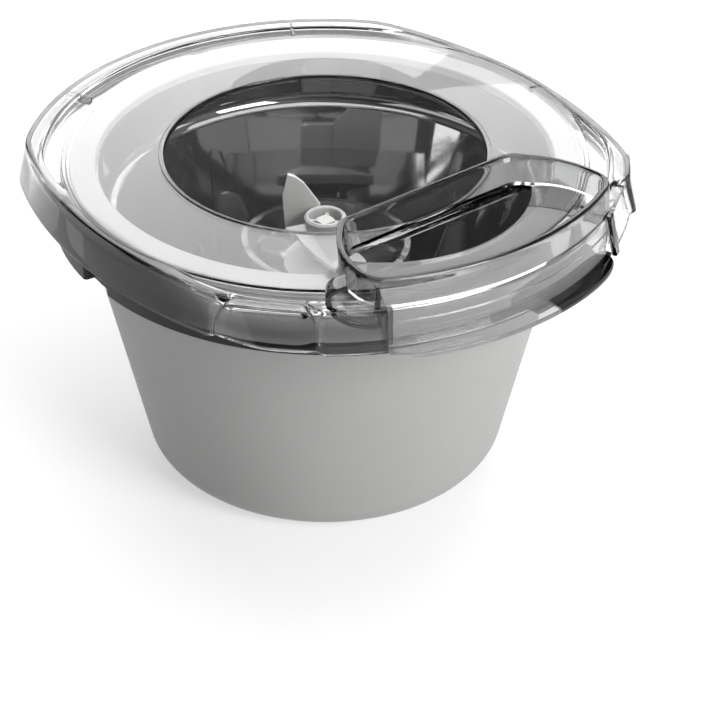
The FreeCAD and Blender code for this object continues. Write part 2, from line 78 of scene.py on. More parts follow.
EDGE_RIBS = ((-153.0, 105.5, 118.5), (149.5, 104.0, 117.0), (84.0, 99.5, 105.0))  # bearing, two radii
BEAD_END = ((50.0, 2.4), (46.0, 2.4), (43.6, 2.0), (42.6, 0.4), (42.4, -3.0))     # bearing, height

# Feed opening in the plate
OPENING_BACK = 66.0
OPENING_FRONT = 92.0
OPENING_HALF = 44.0
OPENING_CORNER = (4.0, 6.0)    # reach of a back corner along x and y
OPENING_BULGE = (0.6, 2.4)     # where the corner's arc passes, in from the sides
RIB_T = 2.0                    # thickness and depth of the opening's back edge
RIB_DEEP = 5.0

# Chute
CHUTE_Z = 14.0
CHUTE_T = 2.4
CHUTE_BACK = (63.5, 60.0)        # straight back, at foot and mouth
CHUTE_FRONT = (117.5, 116.3)     # front arc, at foot and mouth
CHUTE_ROUND = 0.8                # height of the mouth's rounded edge
GUSSET = ((-34.2, 11.5), (-36.2, 10.2), (-37.5, 7.6), (-37.4, 4.2),
          (-36.2, 0.3), (-33.9, -3.0), (-30.8, -4.8), (-28.9, -5.0))   # bearing, height

# Front panel and its lip
FRONT = (-27.5, 25.5)
PANEL_GAP = 0.1          # angle between the panel's ends and the lid
PANEL_R = 118.0
PANEL_STEP = 0.5         # depth of the shallow step in the panel
LIP_R = 125.4
LIP_Z = -14.8

# Where painted shade darkens the lid's clear plastic, standing in for the dark surroundings that it
# refracts and reflects
UNSHADED_SKIRT = ((RECESSES[0][0], FRONT[0]), RECESSES[1])      # bearings where the skirt gets no painted shade
SKIRT_SHADE_HEIGHT = (2.0, -2.5)       # the painted shade on the skirt starts between these heights
SKIRT_SHADE_RADIUS = (RECESS_R + 1.0, RECESS_R + 2.5)
SKIRT_SHADE_SIDE = (96.0, 99.0)        # distance from the middle, at the sides
LEFT_SHADE_X = (-98.0, -105.0)     # x, where the painted shade at the left side is darkest
CHUTE_FLOOR_SHADE_BACK = (-71.0, -73.0)          # y, where painted shade starts on the chute's floor
CHUTE_FLOOR_SHADE_HALF = (58.0, 56.0)            # the same along x, on both sides
LIP_DARK_X = (11.0, 12.0)        # the lip is dark to the right of this

# Camera, as fitted to the bowl's rim, base and lid
CAMERA_BEARING = 38.0    # how far round from the chute it stands
CAMERA_ELEVATION = 28.85
CAMERA_TILT = 31.71      # how far below level it looks
CAMERA_DISTANCE = 0.9    # metres

# Cards that light only the liner: degrees to the right of straight behind, metres wide, watts
FAN_CARDS = {"fan_left": (-55.0, 1.4, 7.5),
             "fan_left_far": (-115.0, 1.4, 6.5),
             "fan_right": (77.0, 1.1, 6.8)}
FAN_DISTANCE = 1.3       # metres
FAN_HEIGHT = 0.75
FAN_TALL = 1.1

OBJECT_CENTRE = (0, 0, 0.1)      # metres, where most of the lights aim

CREASE = 32.0            # edges sharper than this stay crisp
MERGE = 0.00001          # metres

# ---------------------------------------------------------------- mesh helpers


def place(radius, bearing, z):
    """A point in metres from a radius and a height above the rim in mm, and a bearing."""
    angle = math.radians(bearing)
    return Vector((radius * math.sin(angle) * MM, -radius * math.cos(angle) * MM, (RIM + z) * MM))


def clean(bm):
    bmesh.ops.remove_doubles(bm, verts=bm.verts, dist=MERGE)
    bmesh.ops.dissolve_degenerate(bm, edges=bm.edges, dist=0.5 * MERGE)
    bmesh.ops.recalc_face_normals(bm, faces=bm.faces)


def shade(mesh):
    """Smooth shading that keeps sharp edges crisp."""
    bm = bmesh.new()
    bm.from_mesh(mesh)
    limit = math.radians(CREASE)
    for face in bm.faces:
        face.smooth = True
    for edge in bm.edges:
        edge.smooth = len(edge.link_faces) == 2 and edge.calc_face_angle(0.0) < limit
    bm.to_mesh(mesh)
    bm.free()


def to_object(name, bm, material):
    clean(bm)
    mesh = bpy.data.meshes.new(name)
    bm.to_mesh(mesh)
    bm.free()
    shade(mesh)
    obj = bpy.data.objects.new(name, mesh)
    bpy.context.scene.collection.objects.link(obj)
    if material:
        mesh.materials.append(material)
    return obj


def lofted(name, loops, material, closed=True):
    """A solid from loops of points. Closed joins the last loop to the first, else ends are capped."""
    bm = bmesh.new()
    rows = [[bm.verts.new(p) for p in loop] for loop in loops]
    count = len(rows[0])
    pairs = list(zip(rows, rows[1:]))
    if closed:
        pairs.append((rows[-1], rows[0]))
    for low, high in pairs:
        for i in range(count):
            j = (i + 1) % count
            bm.faces.new((low[i], low[j], high[j], high[i]))
    if not closed:
        bm.faces.new(list(reversed(rows[0])))
        bm.faces.new(rows[-1])
    return to_object(name, bm, material)


def round_corners(points, radii, steps=4):
    """The closed outline with each corner replaced by an arc of steps + 1 points."""
    result = []
    count = len(points)
    for i, (corner, radius) in enumerate(zip(points, radii)):
        corner = Vector(corner)
        before = Vector(points[i - 1]) - corner
        after = Vector(points[(i + 1) % count]) - corner
        longest = 0.45 * min(before.length, after.length)      # leaves room for the next corner
        cut = min(radius, longest)
        start = corner + before.normalized() * cut
        end = corner + after.normalized() * cut
        for k in range(steps + 1):
            t = k / steps
            result.append(start * (1 - t) ** 2 + corner * 2 * t * (1 - t) + end * t ** 2)
    return result


def cut_away(obj, cutter):
    """Cuts one object out of another and removes the cutter."""
    modifier = obj.modifiers.new("cut", "BOOLEAN")
    modifier.operation = "DIFFERENCE"
    modifier.solver = "EXACT"
    modifier.object = cutter
    depsgraph = bpy.context.evaluated_depsgraph_get()
    mesh = bpy.data.meshes.new_from_object(obj.evaluated_get(depsgraph))
    obj.modifiers.clear()
    obj.data = mesh
    bpy.data.objects.remove(cutter)


def smooth_step(x):
    """Rises gently from 0 at 0 to 1 at 1."""
    x = min(1.0, max(0.0, x))
    return x * x * (3 - 2 * x)


def mix(a, b, share):
    return a + (b - a) * share


# ---------------------------------------------------------------- lid
def outline_r(bearing, grow=0.0, side_grow=0.0):
    """Radius of the lid's outline at a bearing, with its main and side arcs moved out."""
    along = LID_SIDE_C * abs(math.sin(math.radians(bearing)))
    side = -along + math.sqrt(along ** 2 - LID_SIDE_C ** 2 + (LID_SIDE_R + side_grow) ** 2)
    main = LID_R + grow
    low, high = min(side, main), max(side, main)
    return low - OUTLINE_BLEND * math.log(1 + math.exp((low - high) / OUTLINE_BLEND))


def recess_share(bearing, ramp):
    """0 away from the finger recesses and 1 inside them, with ramps of that many degrees between."""
    share = 0.0
    for start, end in RECESSES:
        rise = smooth_step((bearing - start) / ramp)
        fall = smooth_step((end - bearing) / ramp)
        share = max(share, min(rise, fall))
    return share


def lid_section(bearing):
    """The lid's cross-section at a bearing: radius and height, counter-clockwise."""
    share = recess_share(bearing, RECESS_RAMP[0])
    share_low = recess_share(bearing, RECESS_RAMP[1])
    edge = outline_r(bearing)
    bead = max(outline_r(bearing, -BEAD_W, -BEAD_SIDE_W), PLATE_R + 0.8)
    deep = smooth_step((bead - PLATE_R - 1.2) / 3.0)     # the trough fades out where the bead is close
    recess = min(edge, RECESS_R)
    outer = mix(edge, recess, share)
    outer_mid = mix(edge + 0.02 * FLARE, recess + RECESS_SLOPE, max(share, 0.85 * share_low))
    outer_low = mix(edge + FLARE, edge + RECESS_FLARE, share_low)
    trough = mix(PLATE[1] - 0.1, TROUGH[1], deep)
    wall = mix(bead + WALL, outer - WALL - 1.2, share)
    under = mix(CROWN_Z - WALL, TROUGH[0] - 0.3, share)
    wall_low = mix(TROUGH[0], TROUGH[0] + 0.1, share)
    hole_lip = PLATE[1] + HOLE_LIP
    plate_end = PLATE_R - 2.0
    corners = [((HOLE_R, PLATE[0]), 0.6),
               ((HOLE_R, hole_lip), 0.8),
               ((HOLE_R + 1.7, hole_lip), 0.6),
               ((HOLE_R + 2.2, PLATE[1]), 0.4),
               ((PLATE_R, PLATE[1]), 0.6),
               ((PLATE_R + 0.2, trough), 0.7),
               ((bead - 0.1, trough), 0.7),
               ((bead, CROWN_Z), 1.1),
               ((outer - 0.2, CROWN_Z), 2.4),
               ((outer_mid, 0.0), 3.0),
               ((outer_low, SKIRT_Z), 0.7),
               ((outer_low - WALL, SKIRT_Z), 0.5),
               ((outer_mid - WALL, mix(0.0, under - 1.0, share)), 2.0),
               ((outer - WALL - 0.5, under), 0.8),
               ((wall, under + 0.05), 0.6),
               ((wall - 0.1, wall_low), 0.5),
               ((plate_end, TROUGH[0]), 0.5),
               ((plate_end, PLATE[0]), 0.6)]
    return round_corners(*zip(*corners))


def wedge_object(start, end, r_in, z_low, z_high):
    """A cutter that fills a sector outside a radius."""
    far = 160.0          # well outside the lid
    steps = 24
    outline = [place(r_in, mix(start, end, i / steps), 0) for i in range(steps + 1)]
    outline += [place(far, mix(end, start, i / steps), 0) for i in range(steps + 1)]
    loops = [[Vector((p.x, p.y, (RIM + z) * MM)) for p in outline] for z in (z_low, z_high)]
    return lofted("cutter", loops, None, closed=False)


def arc_points(start, middle, end, steps):
    """Points on the arc through three plan points, without the last one."""
    (ax, ay), (bx, by), (cx, cy) = start, middle, end
    d = 2 * (ax * (by - cy) + bx * (cy - ay) + cx * (ay - by))
    sq_a, sq_b, sq_c = ax * ax + ay * ay, bx * bx + by * by, cx * cx + cy * cy
    ux = (sq_a * (by - cy) + sq_b * (cy - ay) + sq_c * (ay - by)) / d
    uy = (sq_a * (cx - bx) + sq_b * (ax - cx) + sq_c * (bx - ax)) / d
    radius = math.hypot(ax - ux, ay - uy)
    first = math.atan2(ay - uy, ax - ux)
    half = math.atan2(by - uy, bx - ux)
    last = math.atan2(cy - uy, cx - ux)
    full = math.tau
    if (half - first) % full < (last - first) % full:
        sweep = (last - first) % full
    else:
        sweep = -((first - last) % full)
    return [(ux + radius * math.cos(first + sweep * i / steps),
             uy + radius * math.sin(first + sweep * i / steps)) for i in range(steps)]


def line_points(start, end, steps):
    """Points on a straight line, without the last one."""
    shares = [i / steps for i in range(steps)]
    return [(mix(start[0], end[0], share), mix(start[1], end[1], share)) for share in shares]


def flat(points, z):
    """Plan points in mm, at one height above the rim."""
    return [Vector((x * MM, y * MM, (RIM + z) * MM)) for x, y in points]


def opening_corner():
    """Start, middle and end of the arc round the opening's right back corner."""
    back = -OPENING_BACK
    return ((OPENING_HALF - OPENING_CORNER[0], back),
            (OPENING_HALF - OPENING_BULGE[0], back - OPENING_BULGE[1]),
            (OPENING_HALF, back - OPENING_CORNER[1]))


def opening_outline():
    """Straight back, round back corners and one long front arc."""
    right = opening_corner()
    left = [(-x, y) for x, y in right]
    points = line_points(left[0], right[0], 20)
    points += arc_points(*right, 6)
    points += arc_points(right[2], (0, -OPENING_FRONT), left[2], 48)
    points += arc_points(*reversed(left), 6)
    return points


def make_lid(material):
    loops = []
    for i in range(LID_STEPS):
        bearing = -180.0 + 360.0 * i / LID_STEPS
        loops.append([place(r, bearing, z) for r, z in lid_section(bearing)])
    lid = lofted("lid_cover_clear", loops, None)
    cut_away(lid, wedge_object(FRONT[0], FRONT[1], PLATE_R + 0.3, -20, 8))
    outline = opening_outline()
    cut_away(lid, lofted("cutter", [flat(outline, -3), flat(outline, 6)], None, closed=False))
    lid.data.materials.clear()
    lid.data.materials.append(material)
    shade(lid.data)
    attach(lid, "lid")
    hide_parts("lid_plate", "lid_trough", "lid_skirt")


def make_opening_edge(material):
    """The thick edge along the back of the feed opening, curling round at its right end, in dark
    plastic that is painted shade for the dark refraction through its thickness.
    """
    right = opening_corner()
    left_end = (-right[0][0], right[0][1])
    path = line_points(left_end, right[0], 40)
    path += arc_points(*right, 8)
    top = PLATE[1] - 0.05
    loops = []
    for i, (x, y) in enumerate(path):
        growth = smooth_step(i / 14)
        end = smooth_step((len(path) - 1 - i) / 8)
        low = top - 0.4 - (RIB_DEEP - 0.6) * min(growth, 0.25 + 0.75 * end)
        width = RIB_T * (0.25 + 0.75 * growth)
        section = [(y + 0.05, top), (y + width, top), (y + width, low), (y + 0.05, low)]
        corners = [Vector((x * MM, point_y * MM, (RIM + z) * MM)) for point_y, z in section]
        loops.append(round_corners(corners, [0.35 * MM] * 4))
    edge = lofted("opening_edge_clear", loops, material, closed=False)
    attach(edge, "lid")


def chute_outline(back, front_r, inset):
    """Crescent of the chute in plan: straight back, bowed ends and a front arc.

    Each point's share of the inset keeps the wall's thickness even round the bends.
    """
    y_back = -(back + inset)
    r = front_r - inset
    corner_x = 52.0 - 0.6 * inset
    right = [(38.0 - 0.5 * inset, y_back),
             (42.6 - 0.8 * inset, y_back - 1.6),
             (46.0 - 0.9 * inset, y_back - 5.5 + 0.4 * inset),
             (54.3 - 0.9 * inset, -77.5 - 0.4 * inset),
             (58.3 - inset, -91.0 - 0.1 * inset),
             (57.4 - 0.9 * inset, -98.8 + 0.4 * inset),
             (corner_x, -math.sqrt(r * r - corner_x * corner_x))]
    left = [(-x, y) for x, y in right]
    points = line_points(left[0], right[0], 24)
    for i in (0, 2, 4):
        points += arc_points(right[i], right[i + 1], right[i + 2], 14)
    points += arc_points(right[6], (0, -r), left[6], 56)
    for i in (4, 2, 0):
        points += arc_points(left[i + 2], left[i + 1], left[i], 14)
    return points


def chute_row(z, inset):
    share = (z - PLATE[1]) / (CHUTE_Z - PLATE[1])
    return flat(chute_outline(mix(*CHUTE_BACK, share), mix(*CHUTE_FRONT, share), inset), z)


def make_chute(material):
    """The chute's wall: up the outside, over the rounded mouth and down the inside."""
    low = PLATE[1] + 0.04
    high = CHUTE_Z - CHUTE_ROUND
    rows = [chute_row(low, 0.0)]
    rows += [chute_row(mix(low, high, i / 5), 0.0) for i in range(1, 6)]
    round_steps = 6
    for i in range(round_steps + 1):
        angle = math.pi * i / round_steps
        inset = CHUTE_T * 0.5 * (1 - math.cos(angle))
        rows.append(chute_row(high + CHUTE_ROUND * math.sin(angle), inset))
    rows += [chute_row(mix(high, low, i / 5), CHUTE_T) for i in range(1, 6)]
    rows.append(chute_row(low, CHUTE_T))
    chute = lofted("feed_chute_clear", rows, material)
    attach(chute, "lid")
    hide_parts("feed_chute")


def panel_section(bearing):
    """Front panel: shelf, wall with a shallow step, and the lip, which runs out at both ends."""
    centre = 0.5 * (FRONT[0] + FRONT[1])
    half = 0.5 * (FRONT[1] - FRONT[0]) - PANEL_GAP
    away = abs(bearing - centre) / half
    lip_start = PANEL_R + 0.4
    lip = lip_start + (LIP_R - lip_start) * math.sqrt(max(0.0, 1 - away ** 8))
    inner = PLATE_R + 0.35
    shelf = PLATE[1] - 0.02
    inside = PANEL_R - WALL
    corners = [((inner, PLATE[0]), 0.3),
               ((inner, shelf), 0.3),
               ((PANEL_R - 0.4, shelf), 1.6),
               ((PANEL_R, -2.6), 0.2),
               ((PANEL_R + PANEL_STEP, -3.0), 0.2),
               ((PANEL_R + PANEL_STEP, -7.6), 0.2),
               ((PANEL_R, -8.0), 0.2),
               ((PANEL_R + 0.2, SKIRT_Z), 0.6),
               ((lip - 0.4, SKIRT_Z), 0.2),
               ((lip, SKIRT_Z - 0.2), 0.4),
               ((lip, LIP_Z), 0.4),
               ((lip - 0.6, LIP_Z), 0.2),
               ((inside, LIP_Z), 0.5),
               ((inside, PLATE[0]), 0.8)]
    return round_corners(*zip(*corners))


def make_panel(material):
    steps = 110
    loops = []
    for i in range(steps + 1):
        bearing = mix(FRONT[0] + PANEL_GAP, FRONT[1] - PANEL_GAP, i / steps)
        loops.append([place(r, bearing, z) for r, z in panel_section(bearing)])
    panel = lofted("chute_front_clear", loops, material, closed=False)
    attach(panel, "lid")
    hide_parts("chute_front")


def radial_wall(name, path, r_in, r_out, thick, material):
    """A thin wall that runs radially and follows a path of bearing and height."""
    loops = []
    for i, (bearing, z) in enumerate(path):
        before = path[max(i - 1, 0)]
        after = path[min(i + 1, len(path) - 1)]
        along = Vector((math.radians(after[0] - before[0]) * r_out, after[1] - before[1]))
        side = Vector((-along.y, along.x)).normalized() * 0.5 * thick
        section = []
        for r, sign in ((r_in, -1), (r_out, -1), (r_out, 1), (r_in, 1)):
            section.append(place(r, bearing + math.degrees(sign * side.x / r), z + sign * side.y))
        loops.append(round_corners(section, [0.3 * thick * MM] * 4, 3))
    wall = lofted(name, loops, material, closed=False)
    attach(wall, "lid")


def spline(points, steps):
    """Catmull-Rom curve through the points, as a list of pairs."""
    padded = [points[0]] + list(points) + [points[-1]]
    curve = []
    for a, b, c, d in zip(padded, padded[1:], padded[2:], padded[3:]):
        for i in range(steps):
            t = i / steps
            curve.append(tuple(0.5 * (2 * q + (r - p) * t + (2 * p - 5 * q + 4 * r - s) * t ** 2
                                      + (3 * q - p - 3 * r + s) * t ** 3)
                               for p, q, r, s in zip(a, b, c, d)))
    curve.append(tuple(points[-1]))
    return curve


def recess_arch(start, end):
    """Bearing and height along the raised border of a finger recess."""
    left = [(0.8, -11.5), (1.4, -6.0), (3.0, 0.4), (5.6, 2.3)]
    right = [(0.8, -11.5), (1.2, -6.0), (2.6, 0.4), (5.2, 2.3)]
    path = [(start + inwards, z) for inwards, z in left]
    return path + [(end - inwards, z) for inwards, z in reversed(right)]


def make_lid_details(clear, dark, rough):
    """Gusset and ribs at the chute's left end, edge ribs, recess borders and the cut bead end."""
    # The gusset, the rib below and the bead end use the dark plastic, which is painted shade for the
    # dark refraction through thick clear plastic.
    radial_wall("chute_gusset", spline(GUSSET, 6), 108.0, 116.8, 1.7, dark)
    radial_wall("chute_rib", line_points((-29.0, 11.5), (-28.5, -8.0), 6), 113.5, 118.0, 1.2, dark)
    radial_wall("panel_edge", line_points((-27.0, 3.0), (-26.9, -12.0), 24), 115.0, 119.4, 2.2, rough)
    for i, (bearing, r_in, r_out) in enumerate(EDGE_RIBS):
        height = line_points((bearing, CROWN_Z - 0.4), (bearing, TROUGH[0] + 0.4), 4)
        radial_wall(f"edge_rib_{i + 1}", height, r_in, r_out, 1.0, clear)
    for i, (start, end) in enumerate(RECESSES):
        border = spline(recess_arch(start, end), 6)
        radial_wall(f"recess_arch_{i + 1}", border, 113.4, 117.6, 0.9, clear)
    radial_wall("bead_end", spline(BEAD_END, 5), 117.3, 119.2, 1.2, dark)


# ---------------------------------------------------------------- materials
def new_material(name):
    material = bpy.data.materials.new(name)
    material.use_nodes = True
    return material, material.node_tree, material.node_tree.nodes["Principled BSDF"]


def add_noise(tree, scale, detail, stretch=(1, 1, 1)):
    """Noise that is fixed to the object."""
    coords = tree.nodes.new("ShaderNodeTexCoord")
    mapping = tree.nodes.new("ShaderNodeMapping")
    mapping.inputs["Scale"].default_value = stretch
    noise = tree.nodes.new("ShaderNodeTexNoise")
    noise.inputs["Scale"].default_value = scale
    noise.inputs["Detail"].default_value = detail
    tree.links.new(coords.outputs["Object"], mapping.inputs["Vector"])
    tree.links.new(mapping.outputs["Vector"], noise.inputs["Vector"])
    return noise


def add_range(tree, source, low, high):
    """Spreads a noise between two values."""
    ramp = tree.nodes.new("ShaderNodeMapRange")
    ramp.inputs["To Min"].default_value = low
    ramp.inputs["To Max"].default_value = high
    tree.links.new(source.outputs["Fac"], ramp.inputs["Value"])
    return ramp


def add_bump(tree, shader, source, strength, distance):
    bump = tree.nodes.new("ShaderNodeBump")
    bump.inputs["Strength"].default_value = strength
    bump.inputs["Distance"].default_value = distance
    tree.links.new(source.outputs["Fac"], bump.inputs["Height"])
    tree.links.new(bump.outputs["Normal"], shader.inputs["Normal"])


def moulded(name, colour, roughness, grain=2600.0, strength=0.12, spread=0.06, specular=0.5):
    """Moulded plastic: slight tone drift, uneven gloss and a fine spark-eroded grain."""
    material, tree, shader = new_material(name)
    shader.inputs["IOR"].default_value = 1.48
    shader.inputs["Specular IOR Level"].default_value = specular
    cloud = add_noise(tree, 14.0, 3.0)
    tone = tree.nodes.new("ShaderNodeMix")
    tone.data_type = "RGBA"
    tone.inputs["A"].default_value = tuple(c * (1 - spread) for c in colour) + (1,)
    tone.inputs["B"].default_value = tuple(min(1.0, c * (1 + spread)) for c in colour) + (1,)
    tree.links.new(cloud.outputs["Fac"], tone.inputs["Factor"])
    tree.links.new(tone.outputs["Result"], shader.inputs["Base Color"])
    gloss = add_range(tree, add_noise(tree, 60.0, 4.0), roughness * 0.88, roughness * 1.12)
    tree.links.new(gloss.outputs["Result"], shader.inputs["Roughness"])
    add_bump(tree, shader, add_noise(tree, grain, 2.0), strength, 0.00004)
    return material


def clear_plastic(name, tint, density, ripple=0.05, grain=38.0):
    """Polished clear plastic with a faint ripple, darker where light passes through more of it."""
    material, tree, shader = new_material(name)
    shader.inputs["Base Color"].default_value = tint + (1,)
    shader.inputs["Transmission Weight"].default_value = 1.0
    shader.inputs["IOR"].default_value = 1.49
    gloss = add_range(tree, add_noise(tree, 45.0, 3.0), 0.0, 0.012)
    tree.links.new(gloss.outputs["Result"], shader.inputs["Roughness"])
    add_bump(tree, shader, add_noise(tree, grain, 1.0), ripple, 0.0002)
    smoke = tree.nodes.new("ShaderNodeVolumeAbsorption")
    smoke.inputs["Color"].default_value = (0.5, 0.5, 0.505, 1)
    smoke.inputs["Density"].default_value = density
    tree.links.new(smoke.outputs["Volume"], tree.nodes["Material Output"].inputs["Volume"])
    return material


def position(tree):
    """The x, y and z outputs of a point's place on the object, in metres."""
    coords = tree.nodes.new("ShaderNodeTexCoord")
    split = tree.nodes.new("ShaderNodeSeparateXYZ")
    tree.links.new(coords.outputs["Object"], split.inputs["Vector"])
    return [split.outputs[axis] for axis in "XYZ"]


def math_node(tree, operation, *sources):
    node = tree.nodes.new("ShaderNodeMath")
    node.operation = operation
    for socket, source in zip(node.inputs, sources):
        tree.links.new(source, socket)
    return node.outputs["Value"]


def ramp_node(tree, source, start, end, peak=1.0):
    """0 where the source hasn't reached start, rising to the peak at end. Either may be larger."""
    node = tree.nodes.new("ShaderNodeMapRange")
    node.interpolation_type = "SMOOTHSTEP"
    node.inputs["From Min"].default_value = start
    node.inputs["From Max"].default_value = end
    node.inputs["To Max"].default_value = peak
    tree.links.new(source, node.inputs["Value"])
    return node.outputs["Result"]


def ramp_mm(tree, source, ends, peak=1.0):
    """The same between two distances in mm."""
    return ramp_node(tree, source, ends[0] * MM, ends[1] * MM, peak)


def above_rim(heights):
    return [RIM + z for z in heights]


def outside_bearings(tree, angle, start, end):
    """1 away from the two bearings and 0 between them. The angle is in radians from +X."""
    first = math.radians(start - 90.0)
    last = math.radians(end - 90.0)
    edge = math.radians(0.5)
    before = ramp_node(tree, angle, first + edge, first - edge)
    after = ramp_node(tree, angle, last - edge, last + edge)
    return math_node(tree, "MAXIMUM", before, after)


def mixed_tint(tree, shader, share, tint, earlier=None):
    """Blends the shader's own base colour, or an earlier blend, towards another tint."""
    blend = tree.nodes.new("ShaderNodeMix")
    blend.data_type = "RGBA"
    blend.inputs["A"].default_value = tuple(shader.inputs["Base Color"].default_value)
    blend.inputs["B"].default_value = tint + (1,)
    if earlier:
        tree.links.new(earlier, blend.inputs["A"])
    tree.links.new(share, blend.inputs["Factor"])
    tree.links.new(blend.outputs["Result"], shader.inputs["Base Color"])
    return blend.outputs["Result"]


def skirt_shade_share(tree, x, y, z):
    """1 on the skirt of the lid, where it gets painted shade, and 0 above it and in and beside the
    finger recesses.
    """
    low = ramp_mm(tree, z, above_rim(SKIRT_SHADE_HEIGHT))
    squares = [math_node(tree, "MULTIPLY", axis, axis) for axis in (x, y)]
    radius = math_node(tree, "SQRT", math_node(tree, "ADD", *squares))
    ends = ramp_mm(tree, radius, SKIRT_SHADE_RADIUS)
    sides = ramp_mm(tree, math_node(tree, "ABSOLUTE", x), SKIRT_SHADE_SIDE)
    share = math_node(tree, "MULTIPLY", low, math_node(tree, "MAXIMUM", ends, sides))
    angle = math_node(tree, "ARCTAN2", y, x)
    for start, end in UNSHADED_SKIRT:
        share = math_node(tree, "MULTIPLY", share, outside_bearings(tree, angle, start, end))
    return share


def chute_floor_shade_share(tree, x, y):
    """1 on the plate inside the chute, where it gets painted shade."""
    in_depth = ramp_mm(tree, y, CHUTE_FLOOR_SHADE_BACK)
    in_width = ramp_mm(tree, math_node(tree, "ABSOLUTE", x), CHUTE_FLOOR_SHADE_HALF)
    return math_node(tree, "MULTIPLY", in_depth, in_width)


def lid_plastic(name, tint, skirt_shade_tint, left_shade_tint):
    """Clear plastic with painted shade on the skirt and the chute's floor, and more painted shade at
    the left side, standing in for the dark surroundings that the lid refracts and reflects.
    """
    material = clear_plastic(name, tint, 100.0)
    tree = material.node_tree
    shader = tree.nodes["Principled BSDF"]
    x, y, z = position(tree)
    share = math_node(tree, "MAXIMUM", skirt_shade_share(tree, x, y, z), chute_floor_shade_share(tree, x, y))
    skirt_shaded = mixed_tint(tree, shader, share, skirt_shade_tint)
    mixed_tint(tree, shader, ramp_mm(tree, x, LEFT_SHADE_X, peak=0.85), left_shade_tint, skirt_shaded)
    return material


def panel_plastic(name, tint, lip_tint):
    """Slightly milky clear plastic whose lip is dark where it covers the black tab."""
    material = clear_plastic(name, tint, 60.0)
    tree = material.node_tree
    shader = tree.nodes["Principled BSDF"]
    shader.inputs["Transmission Weight"].default_value = 0.84
    x, _, z = position(tree)
    low = ramp_mm(tree, z, above_rim((SKIRT_Z + 0.4, SKIRT_Z + 0.1)))
    mixed_tint(tree, shader, math_node(tree, "MULTIPLY", low, ramp_mm(tree, x, LIP_DARK_X)), lip_tint)
    return material


def dark_metal(name):
    """Hard-anodised liner: a dark mirror with fine turned rings."""
    material, tree, shader = new_material(name)
    shader.inputs["Metallic"].default_value = 0.85
    rings = add_noise(tree, 120.0, 3.0, (0.4, 0.4, 14.0))
    tone = add_range(tree, rings, 0.27, 0.31)
    colour = tree.nodes.new("ShaderNodeCombineColor")
    for channel in ("Red", "Green", "Blue"):
        tree.links.new(tone.outputs["Result"], colour.inputs[channel])
    tree.links.new(colour.outputs["Color"], shader.inputs["Base Color"])
    gloss = add_range(tree, rings, 0.03, 0.06)
    tree.links.new(gloss.outputs["Result"], shader.inputs["Roughness"])
    add_bump(tree, shader, rings, 0.03, 0.0001)
    return material


def translucent_plastic(name, tint):
    """Grey translucent plastic with a little haze."""
    material, tree, shader = new_material(name)
    shader.inputs["Base Color"].default_value = tint + (1,)
    shader.inputs["Transmission Weight"].default_value = 0.96
    shader.inputs["IOR"].default_value = 1.49
    gloss = add_range(tree, add_noise(tree, 70.0, 3.0), 0.02, 0.07)
    tree.links.new(gloss.outputs["Result"], shader.inputs["Roughness"])
    add_bump(tree, shader, add_noise(tree, 60.0, 2.0), 0.06, 0.0002)
    return material


def steel(name):
    """Turned stainless steel."""
    material, tree, shader = new_material(name)
    shader.inputs["Metallic"].default_value = 1.0
    shader.inputs["Base Color"].default_value = (0.62, 0.62, 0.63, 1)
    rings = add_noise(tree, 300.0, 2.0, (0.3, 0.3, 10.0))
    gloss = add_range(tree, rings, 0.2, 0.34)
    tree.links.new(gloss.outputs["Result"], shader.inputs["Roughness"])
    add_bump(tree, shader, rings, 0.08, 0.0001)
    return material


def assign(material, *nodes):
    for name in nodes:
        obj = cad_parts[name]
        obj.data.materials.clear()
        obj.data.materials.append(material)


def dress_nodes():
    """Materials of the CAD nodes that stay."""
    assign(moulded("body_plastic", (0.30, 0.30, 0.296), 0.5, specular=0.3), "outer_shell")
    assign(moulded("rim_plastic", (0.88, 0.88, 0.87), 0.30), "rim_cap")
    assign(dark_metal("liner_metal"), "inner_liner")
    black = moulded("ring_plastic", (0.007, 0.007, 0.0075), 0.4, specular=0.3)
    assign(black, "adaptor_ring", "turning_tab", "rest_lug_1", "rest_lug_3")
    white = moulded("paddle_plastic", (0.66, 0.66, 0.65), 0.32)
    assign(white, "paddle_hub", "drive_insert", "paddle_fin", "auger_flight")
    blades = [f"paddle_blade_{i}" for i in (1, 2, 3)]
    assign(translucent_plastic("paddle_smoke", (0.95, 0.95, 0.955)), "paddle_ring", *blades)
    wipers = [f"wiper_edge_{i}" for i in (1, 2, 3)]
    assign(moulded("wiper_rubber", (0.05, 0.05, 0.05), 0.5), *wipers)
    assign(steel("pin_steel"), "locating_pin", "pin_nut")
    assign(moulded("bush_plastic", (0.7, 0.7, 0.68), 0.4), "hub_bush", "thrust_washer")
    assign(moulded("seal_rubber", (0.03, 0.03, 0.03), 0.6), "liner_seal", "fill_plug")
    assign(moulded("foam", (0.75, 0.74, 0.68), 0.8, grain=900.0, strength=0.5), "insulation_sleeve")
    assign(moulded("coolant", (0.30, 0.52, 0.62), 0.2), "coolant_gel")


